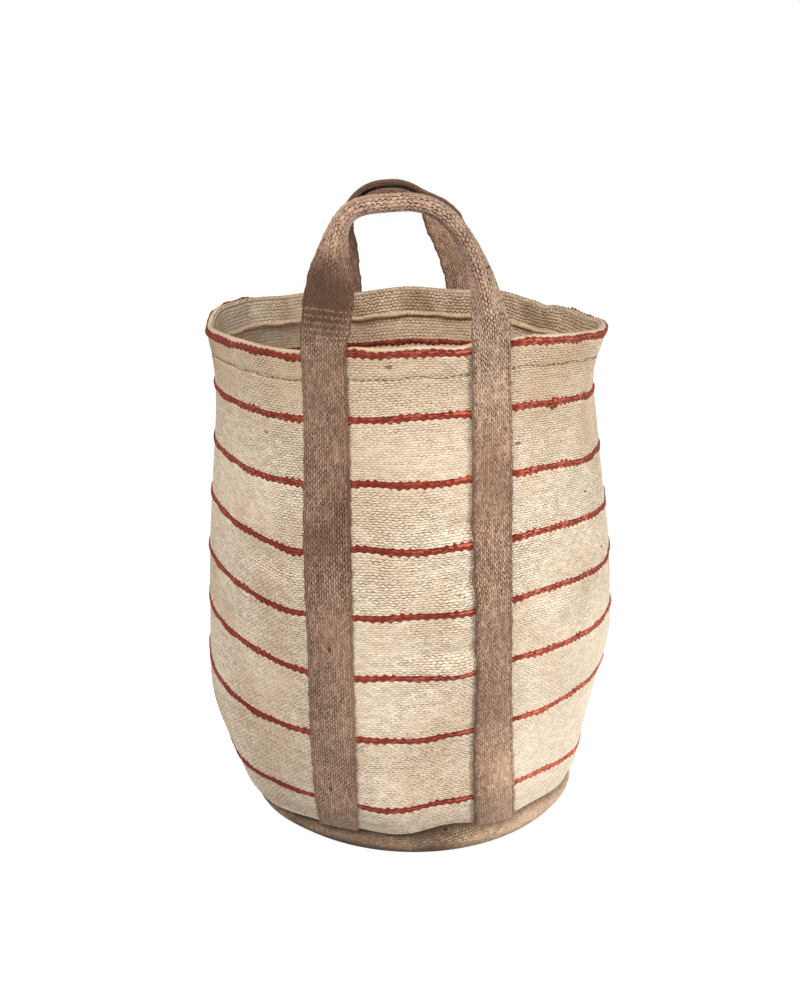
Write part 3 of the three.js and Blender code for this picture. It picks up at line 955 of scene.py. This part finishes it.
def build_base():
    radius, height, reach = base_section()
    sides = len(radius) - 1

    def place(column, row):
        row = row.astype(int)
        azimuth = round_turn(column, BASE_COLUMNS)
        along = BASE_MIDDLE_CELL + reach[row] * np.sin(azimuth) / BASE_CELL_LONG
        across = BASE_MIDDLE_CELL - reach[row] * np.cos(azimuth) / BASE_CELL
        number = np.floor(across)
        shifted = along + 0.5 * (number % 2)
        stands = np.abs(np.sin(np.pi * shifted) * np.sin(np.pi * (across - number)))
        stands = BASE_RELIEF * stands * ease(height[row], *BASE_RELIEF_FROM)
        points = hang(azimuth, height[row], radius[row] + np.where(row < sides / 2, stands, 0))
        return points, np.stack([along, across], axis=-1)

    made = piece("base_cloth", [woven("base_cloth", BASE_COLUMNS, sides, place)], BROWN_JUTE)
    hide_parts("base_panel")
    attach(made, "bag")


# Seam allowances inside

SEAM_CREVICE = 0.005
SEAM_CREVICE_HEIGHTS = (SEAM_HEIGHT - 0.003, SEAM_HEIGHT + 0.004)
ALLOWANCE_ROWS = 8


def allowance_strip(name, node, finish, columns, thickness, bottom, top, first, last):
    """A strip of cloth against the inside wall, from one height and azimuth to others."""
    steps = max(ALLOWANCE_ROWS, round((top - bottom) / INNER_STEP))
    heights = np.concatenate([np.linspace(bottom, top, steps), np.linspace(top, bottom, steps)])
    insets = CLOTH + GAP + np.concatenate([np.zeros(steps), np.full(steps, thickness)])
    insets = insets + SEAM_CREVICE * (1 - ease(heights, *SEAM_CREVICE_HEIGHTS))

    def place(column, row):
        row = row.astype(int) % (2 * steps)
        azimuth = first + (last - first) * column / columns
        points = on_cloth(azimuth, heights[row], insets[row])
        along = azimuth * FLOATS_ROUND / TURN
        return points, np.stack([along, heights[row] / PICK], axis=-1)

    made = piece(name, [woven(name, columns, 2 * steps, place)], finish, [node])
    (last - first) * float(wall_radius((bottom + top) / 2))
    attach(made, "bag")


def build_allowances():
    seam_top = SEAM_HEIGHT + SEAM_ALLOWANCE
    allowance_strip(
        "base_seam_edges", "base_seam_allowance", BROWN_JUTE, columns=400, thickness=2 * CLOTH,
        bottom=BASE_EDGE_HEIGHT, top=seam_top, first=0, last=TURN)
    half = SIDE_SEAM_WIDTH / 2 / OUTLINE_RADII.mean()
    allowance_strip(
        "side_seam_edges", "side_seam_allowance", CREAM_JUTE, columns=24, thickness=CLOTH,
        bottom=seam_top + GAP, top=BAG_HEIGHT - HEM_DEPTH - GAP,
        first=SIDE_SEAM_AZIMUTH - half, last=SIDE_SEAM_AZIMUTH + half)


# Webbing straps: right leg, handle and left leg in one strip

LEG_BOTTOM = SEAM_HEIGHT + GAP
LEAVE_WALL = (-0.016, 0.022)
LEG_HEIGHTS = (0.022, 0.070, 0.160, 0.280, 0.380)
LEFT_WIDTHS = (0.95, 0.97, 1.01, 1.02, 0.97)
RIGHT_WIDTHS = (1.00, 1.00, 0.86, 0.90, 0.84)
WIDTH_WAVES = ((0.018, 330), (0.012, 730))
WALL_OVER_RIM = 0.05
ARCH_STEPS = 1440
PATH_STEP = 0.001
LEAST_FOLD = 1e-4
BEND_HALF = 0.007
RIB_LOW = 0.45


def strap_section():
    """Across, depth, rib count and rib height of the points round the strip's section."""
    radius = STRAP_THICKNESS / 2
    flat = STRAP_WIDTH / 2 - radius
    step = np.arange(2 * STRAP_RIBS + 1)
    bend = np.radians([45, 0, -45])
    face = np.linspace(-flat, flat, len(step))
    round_out, round_deep = radius * np.cos(bend), radius * np.sin(bend)
    across = np.concatenate([face, flat + round_out, face[::-1], -flat - round_out])
    level = np.full(len(step), radius)
    depth = np.concatenate([level, round_deep, -level, -round_deep])
    edge = STRAP_RIBS + EDGE_RIBS * np.array([0.25, 0.5, 0.75])
    ribs = np.concatenate([step / 2, edge, FACE_RIBS + step / 2, FACE_RIBS + edge, [2 * FACE_RIBS]])
    peak = np.concatenate([step % 2, np.zeros(3), -(step % 2), np.zeros(3)])
    return across, depth, ribs, peak


def arch_place(turn, form):
    """Place in the handle's plane: half a squarish oval, of another form on each side of its top."""
    rise, reach = np.sin(turn), np.cos(turn)
    right = reach > 0
    wide = np.sign(reach) * np.abs(reach) ** np.where(right, form.right_square, form.left_square)
    tuck = 4 * np.where(right, form.right_tuck, form.left_tuck) * rise * (1 - rise)
    return np.stack([STRAP_SPACING_RIM / 2 * wide - form.lean * rise**2 + tuck, HANDLE_RISE * rise], axis=-1)


def folded(w, fold, depth):
    """Place across and back of a strip that is folded along its middle, with a round ridge."""
    bend = FOLD_RADIUS * FOLD_ANGLE
    curved = np.minimum(np.abs(w), bend)
    straight = np.abs(w) - curved
    fold = np.maximum(fold, LEAST_FOLD)
    angle = fold * curved / bend
    radius = bend / fold
    wide = radius * np.sin(angle) + straight * np.cos(angle) + np.sin(angle) * depth
    back = radius * (1 - np.cos(angle)) + straight * np.sin(angle) - np.cos(angle) * depth
    return np.sign(w) * wide, back


class Strap:
    """One strip of webbing. A run is counted along it from the right foot of its handle."""

    def __init__(self, end):
        self.end = end
        self.front = end == "front"
        joint = joints[f"{end}_handle_fold"]
        self.pivot = np.array(joint["pos_m"])
        self.axis_x = np.array(joint["axis"]) * (1 if self.front else -1)
        self.axis_z = np.array([-self.axis_x[2], 0, self.axis_x[0]])
        self.form = HANDLE_FORMS[end]
        self.turns = np.linspace(0, np.pi, ARCH_STEPS + 1)
        steps = np.diff(arch_place(self.turns, self.form), axis=0)
        self.runs = np.concatenate([[0], np.cumsum(np.linalg.norm(steps, axis=1))])
        self.arch = self.runs[-1]
        self.leg = self.pivot[2] - LEG_BOTTOM
        self.total = 2 * self.leg + self.arch

    def path(self, run):
        """Place and direction in the handle's plane. Below the feet the strip goes straight down."""
        turn = np.interp(run, self.runs, self.turns)
        ahead = arch_place(np.minimum(turn + PATH_STEP, np.pi), self.form)
        behind = arch_place(np.maximum(turn - PATH_STEP, 0), self.form)
        place = arch_place(turn, self.form)
        place[:, 1] += np.minimum(run, 0) - np.maximum(run - self.arch, 0)
        return place, unit(ahead - behind)

    def on_wall(self, right, height, w, e):
        share = (height - SEAM_HEIGHT) / (BAG_HEIGHT - SEAM_HEIGHT)
        side = np.where(right, 1, -1)
        reach = side * (STRAP_SPACING_SEAM + (STRAP_SPACING_RIM - STRAP_SPACING_SEAM) * share) / 2
        radius = wall_radius(height)
        middle = np.arcsin(np.clip((reach + STRAP_DRIFT * (1 - share)) / radius, -1, 1))
        azimuth = middle + side * w / radius
        azimuth = azimuth if self.front else np.pi - azimuth
        return hang(azimuth, height, radius + GAP + STRAP_THICKNESS / 2 + e)

    def in_loop(self, run, w, e):
        place, tangent = self.path(run)
        fold = FOLD_ANGLE * ease(run, *self.form.right_fold) * ease(self.arch - run, *self.form.left_fold)
        out, back = folded(w, fold, e)
        local_x = place[:, 0] + out * tangent[:, 1]
        local_z = place[:, 1] - out * tangent[:, 0]
        points = self.pivot + local_x[:, None] * self.axis_x + local_z[:, None] * self.axis_z
        points[:, 1] += back if self.front else -back
        return points

    def points(self, run, w, e):
        """Points of the strip at runs, places across it and depths out from its middle."""
        right = run < self.arch / 2
        from_foot = np.where(right, run, self.arch - run)
        height = np.minimum(self.pivot[2] + from_foot, BAG_HEIGHT + WALL_OVER_RIM)
        if self.front:
            widths = [np.interp(height, LEG_HEIGHTS, values) for values in (RIGHT_WIDTHS, LEFT_WIDTHS)]
            w = w * np.where(right, *widths)
        w = w * (1 + waves(run, WIDTH_WAVES))
        share = ease(from_foot, *LEAVE_WALL)[:, None]
        return self.on_wall(right, height, w, e) * (1 - share) + self.in_loop(run, w, e) * share

    def ride(self, made):
        """Bakes the piece's placing into its mesh."""
        lead = BEND_HALF * self.axis_z
        self.pivot - lead
        self.pivot + lead
        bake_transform(made)


def webbing(strap):
    across, depth, ribs, peak = strap_section()
    columns = len(across)
    rows = round(strap.total / STRAP_STEP)
    first_dash = LEFT_FOOT_DASH if strap.front else LEFT_FOOT_DASH + REAR_DASHES

    def place(column, row):
        rib = ribs[column.astype(int)]
        column = column.astype(int) % columns
        run = row * strap.total / rows - strap.leg
        dash = first_dash + (run - strap.arch) / STRAP_FLOAT
        float_place = dash + 0.5 * (np.floor(rib) % 2)
        bulge = RIB_LOW + (1 - RIB_LOW) * np.abs(np.sin(np.pi * float_place))
        stands = STRAP_RELIEF * peak[column] * bulge
        points = strap.points(run, across[column], depth[column] + stands)
        return points, np.stack([dash, rib], axis=-1)

    end = strap.end
    nodes = [f"{end}_strap_left", f"{end}_strap_right", f"{end}_handle"]
    mesh = woven(f"{end}_strap", columns, rows, place)
    made = piece(f"{end}_strap", [mesh], TAUPE_WEBBING, nodes)
    strap.ride(made)


# Sewing: thread that shows as stitches and dives between them

THREAD = 0.0005
THREAD_SIDES = 6
STITCH = 0.0055
STITCH_STEPS = 8
DIVE_FROM = 0.3
EDGE_STITCH_INSET = 0.0028
EDGE_STITCH_START = 0.004
EDGE_STITCH_SEAT = 0.6
EDGE_STITCH_DIVE = 0.0016
HEM_STITCHES = 190
HEM_STITCH_SEAT = 0.0004
HEM_STITCH_DIVE = 0.0014
HEM_STITCH_WAVER = ((0.0006, 37), (0.0005, 23))


def dive(share):
    """How far the thread has dived along a stitch, from 0 to 1."""
    return ease(np.abs(share % 1 - 0.5), DIVE_FROM, 0.5)


def thread_row(strap, first, length, side):
    """A row of thread along one edge of a leg, on its outer face, from the run where it begins."""
    rows = round(length / STITCH) * STITCH_STEPS

    def place(column, row):
        run = first + length * row / rows
        around = TURN * column / THREAD_SIDES
        sunk = EDGE_STITCH_DIVE * dive(row / STITCH_STEPS)
        w = side * (STRAP_WIDTH / 2 - EDGE_STITCH_INSET) + THREAD * np.sin(around)
        e = STRAP_THICKNESS / 2 + STRAP_RELIEF * EDGE_STITCH_SEAT - sunk + THREAD * np.cos(around)
        return strap.points(run, w, e), np.stack([row / STITCH_STEPS, column], axis=-1)

    return woven("thread", THREAD_SIDES, rows, place)


def edge_stitches(strap):
    """Thread rows along both edges of both legs."""
    length = strap.leg - EDGE_STITCH_START
    starts = (-strap.leg, strap.arch + EDGE_STITCH_START)
    meshes = [thread_row(strap, first, length, side) for first in starts for side in (-1, 1)]
    made = piece(f"{strap.end}_strap_stitches", meshes, SEWING_THREAD)
    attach(made, "bag")


def hem_stitches():
    """The row that holds the hem, seen on the outside."""
    columns = HEM_STITCHES * STITCH_STEPS

    def place(column, row):
        azimuth = round_turn(column, columns)
        around = TURN * (row % THREAD_SIDES) / THREAD_SIDES
        sunk = HEM_STITCH_DIVE * dive(column / STITCH_STEPS)
        waver = waves(azimuth, HEM_STITCH_WAVER)
        height = BAG_HEIGHT - HEM_STITCH_DROP + waver + THREAD * np.sin(around)
        inset = HEM_CREASE - HEM_STITCH_SEAT + sunk - THREAD * np.cos(around)
        return on_cloth(azimuth, height, inset), np.stack([column / STITCH_STEPS, row], axis=-1)

    mesh = woven("thread", columns, THREAD_SIDES, place, laps=6)
    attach(piece("hem_stitches", [mesh], SEWING_THREAD), "bag")


# Stray fibres

FIBRE = 0.00009
FIBRE_LIFT = 0.45
CLOTH_FIBRES = 500
CLOTH_FIBRE_START = 0.004
CLOTH_FIBRE_LENGTHS = (0.002, 0.006)
STRIPE_FIBRES = 60
STRIPE_FIBRE_SPREAD = 0.0015
STRAP_FIBRES = 420
STRAP_FIBRE_LENGTHS = (0.002, 0.005)
STRAP_FIBRE_EDGE = 0.8
OUT_STEP = 0.001


def fibre_mesh(roots, outward, along, length):
    """Thin tapered hairs that leave a surface at their roots."""
    hairs = bmesh.new()
    for root, out, way, reach in zip(roots, outward, along, length):
        tip = Vector(root + reach * (FIBRE_LIFT * out + way))
        turn = (tip - Vector(root)).to_track_quat("Z", "Y").to_matrix().to_4x4()
        place = Matrix.Translation((Vector(root) + tip) / 2) @ turn
        bmesh.ops.create_cone(
            hairs, segments=3, radius1=FIBRE, radius2=FIBRE / 4, depth=reach, matrix=place, cap_ends=True)
    return finished("fibres", hairs)


def random_ways(count):
    return unit(rng.normal(size=(count, 3)))


def cloth_fibres(name, heights, finish):
    count = len(heights)
    azimuth = rng.uniform(0, TURN, count)
    roots = on_cloth(azimuth, heights, 0)
    outward = np.stack([np.sin(azimuth), -np.cos(azimuth), np.zeros(count)], axis=-1)
    mesh = fibre_mesh(roots, outward, random_ways(count), rng.uniform(*CLOTH_FIBRE_LENGTHS, count))
    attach(piece(name, [mesh], finish), "bag")


def strap_fibres(strap):
    """Hairs on the edges of the legs and the handle."""
    count = STRAP_FIBRES
    run = rng.uniform(-strap.leg, strap.total - strap.leg, count)
    edge = rng.choice([-1, 1], count)
    w = edge * STRAP_WIDTH / 2 * rng.uniform(STRAP_FIBRE_EDGE, 1, count)
    surface = np.full(count, STRAP_THICKNESS / 2)
    roots = strap.points(run, w, surface)
    outward = unit(strap.points(run, w, surface + OUT_STEP) - roots)
    mesh = fibre_mesh(roots, outward, random_ways(count), rng.uniform(*STRAP_FIBRE_LENGTHS, count))
    strap.ride(piece(f"{strap.end}_strap_fibres", [mesh], TAUPE_WEBBING))


def build_straps():
    for end in ("front", "rear"):
        strap = Strap(end)
        webbing(strap)
        edge_stitches(strap)
        strap_fibres(strap)


def build_fibres():
    heights = rng.uniform(SEAM_HEIGHT + CLOTH_FIBRE_START, BAG_HEIGHT, CLOTH_FIBRES)
    cloth_fibres("cloth_fibres", heights, CREAM_JUTE)
    near = rng.normal(0, STRIPE_FIBRE_SPREAD, (len(STRIPE_DROPS), STRIPE_FIBRES))
    heights = (BAG_HEIGHT - np.array(STRIPE_DROPS)[:, None] + near).ravel()
    cloth_fibres("stripe_fibres", heights, RUST_YARN)


# Camera, light and floor

CAMERA_PLACE = Vector((-0.0062, -0.884, 0.532))
CAMERA_PITCH = math.radians(72)
CAMERA_ROLL = math.radians(-0.7)
CAMERA_LENS = 39.5
SENSOR_WIDTH = 36

# Lamps, each with its place, size and power, and the point that they face
Lamp = namedtuple("Lamp", "name place size power")
LAMPS = (
    Lamp("key", (1.45, -1.0, 0.24), 0.8, 25.5),
    Lamp("fill", (-0.6, -1.1, 1.5), 1.0, 24),
)
LAMP_AIM = Vector((0, 0, 0.22))
WHITE = (1, 1, 1, 1)
AMBIENT = 0.50
AMBIENT_COLOUR = (1, 0.92, 0.82, 1)
BACKGROUND_RAYS = ("Is Camera Ray", "Is Glossy Ray", "Is Transmission Ray")
FLOOR_REACH = 6
FLOOR_COLOUR = (0.55, 0.55, 0.55, 1)
FLOOR_ROUGHNESS = 0.9
FLOOR_WHITE = 0.45
FLOOR_GLOW = 1.95


def build_camera():
    lens = bpy.data.cameras.new("camera")
    lens.lens = CAMERA_LENS
    lens.sensor_width = SENSOR_WIDTH
    camera = placed("camera", lens)
    turn = Matrix.Rotation(CAMERA_PITCH, 4, "X") @ Matrix.Rotation(CAMERA_ROLL, 4, "Z")
    camera.matrix_world = Matrix.Translation(CAMERA_PLACE) @ turn
    bpy.context.scene.camera = camera


def area_light(lamp):
    data = bpy.data.lights.new(lamp.name, "AREA")
    data.shape = "DISK"
    data.size = lamp.size
    data.energy = lamp.power
    light = placed(lamp.name, data)
    light.location = lamp.place
    light.rotation_mode = "QUATERNION"
    light.rotation_quaternion = (LAMP_AIM - Vector(lamp.place)).to_track_quat("-Z", "Y")


def background_share(nodes):
    """1 for rays that should see the plain white background."""
    camera, glossy, through = (nodes.add("ShaderNodeLightPath", output=ray) for ray in BACKGROUND_RAYS)
    return camera.math("MAXIMUM", glossy).math("MAXIMUM", through)


def build_light():
    for lamp in LAMPS:
        area_light(lamp)
    world = bpy.data.worlds.new("studio")
    world.use_nodes = True
    bpy.context.scene.world = world
    nodes = Nodes(world.node_tree)
    background = nodes.tree.nodes["Background"]
    share = background_share(nodes)
    nodes.feed(background.inputs["Color"], nodes.mix(share, AMBIENT_COLOUR, WHITE))
    nodes.feed(background.inputs["Strength"], share.between(AMBIENT, 1))


def build_floor():
    sheet = bmesh.new()
    bmesh.ops.create_grid(sheet, x_segments=1, y_segments=1, size=FLOOR_REACH)
    floor = placed("floor", finished("floor", sheet))
    finish = Finish("pale_floor")
    finish.dress({"Base Color": FLOOR_COLOUR, "Roughness": FLOOR_ROUGHNESS})
    plain = Value(finish, finish.shader.outputs[0])
    glow = finish.add("ShaderNodeEmission", None, {"Strength": FLOOR_GLOW})
    share = background_share(finish) * FLOOR_WHITE
    both = finish.add("ShaderNodeMixShader", None, {0: share, 1: plain, 2: glow})
    finish.feed(finish.tree.nodes["Material Output"].inputs["Surface"], both)
    floor.data.materials.append(finish.material)


build_body()
build_base()
build_allowances()
build_straps()
hem_stitches()
build_fibres()
build_camera()
build_light()
build_floor()

bpy.context.scene.view_settings.view_transform = "Standard"
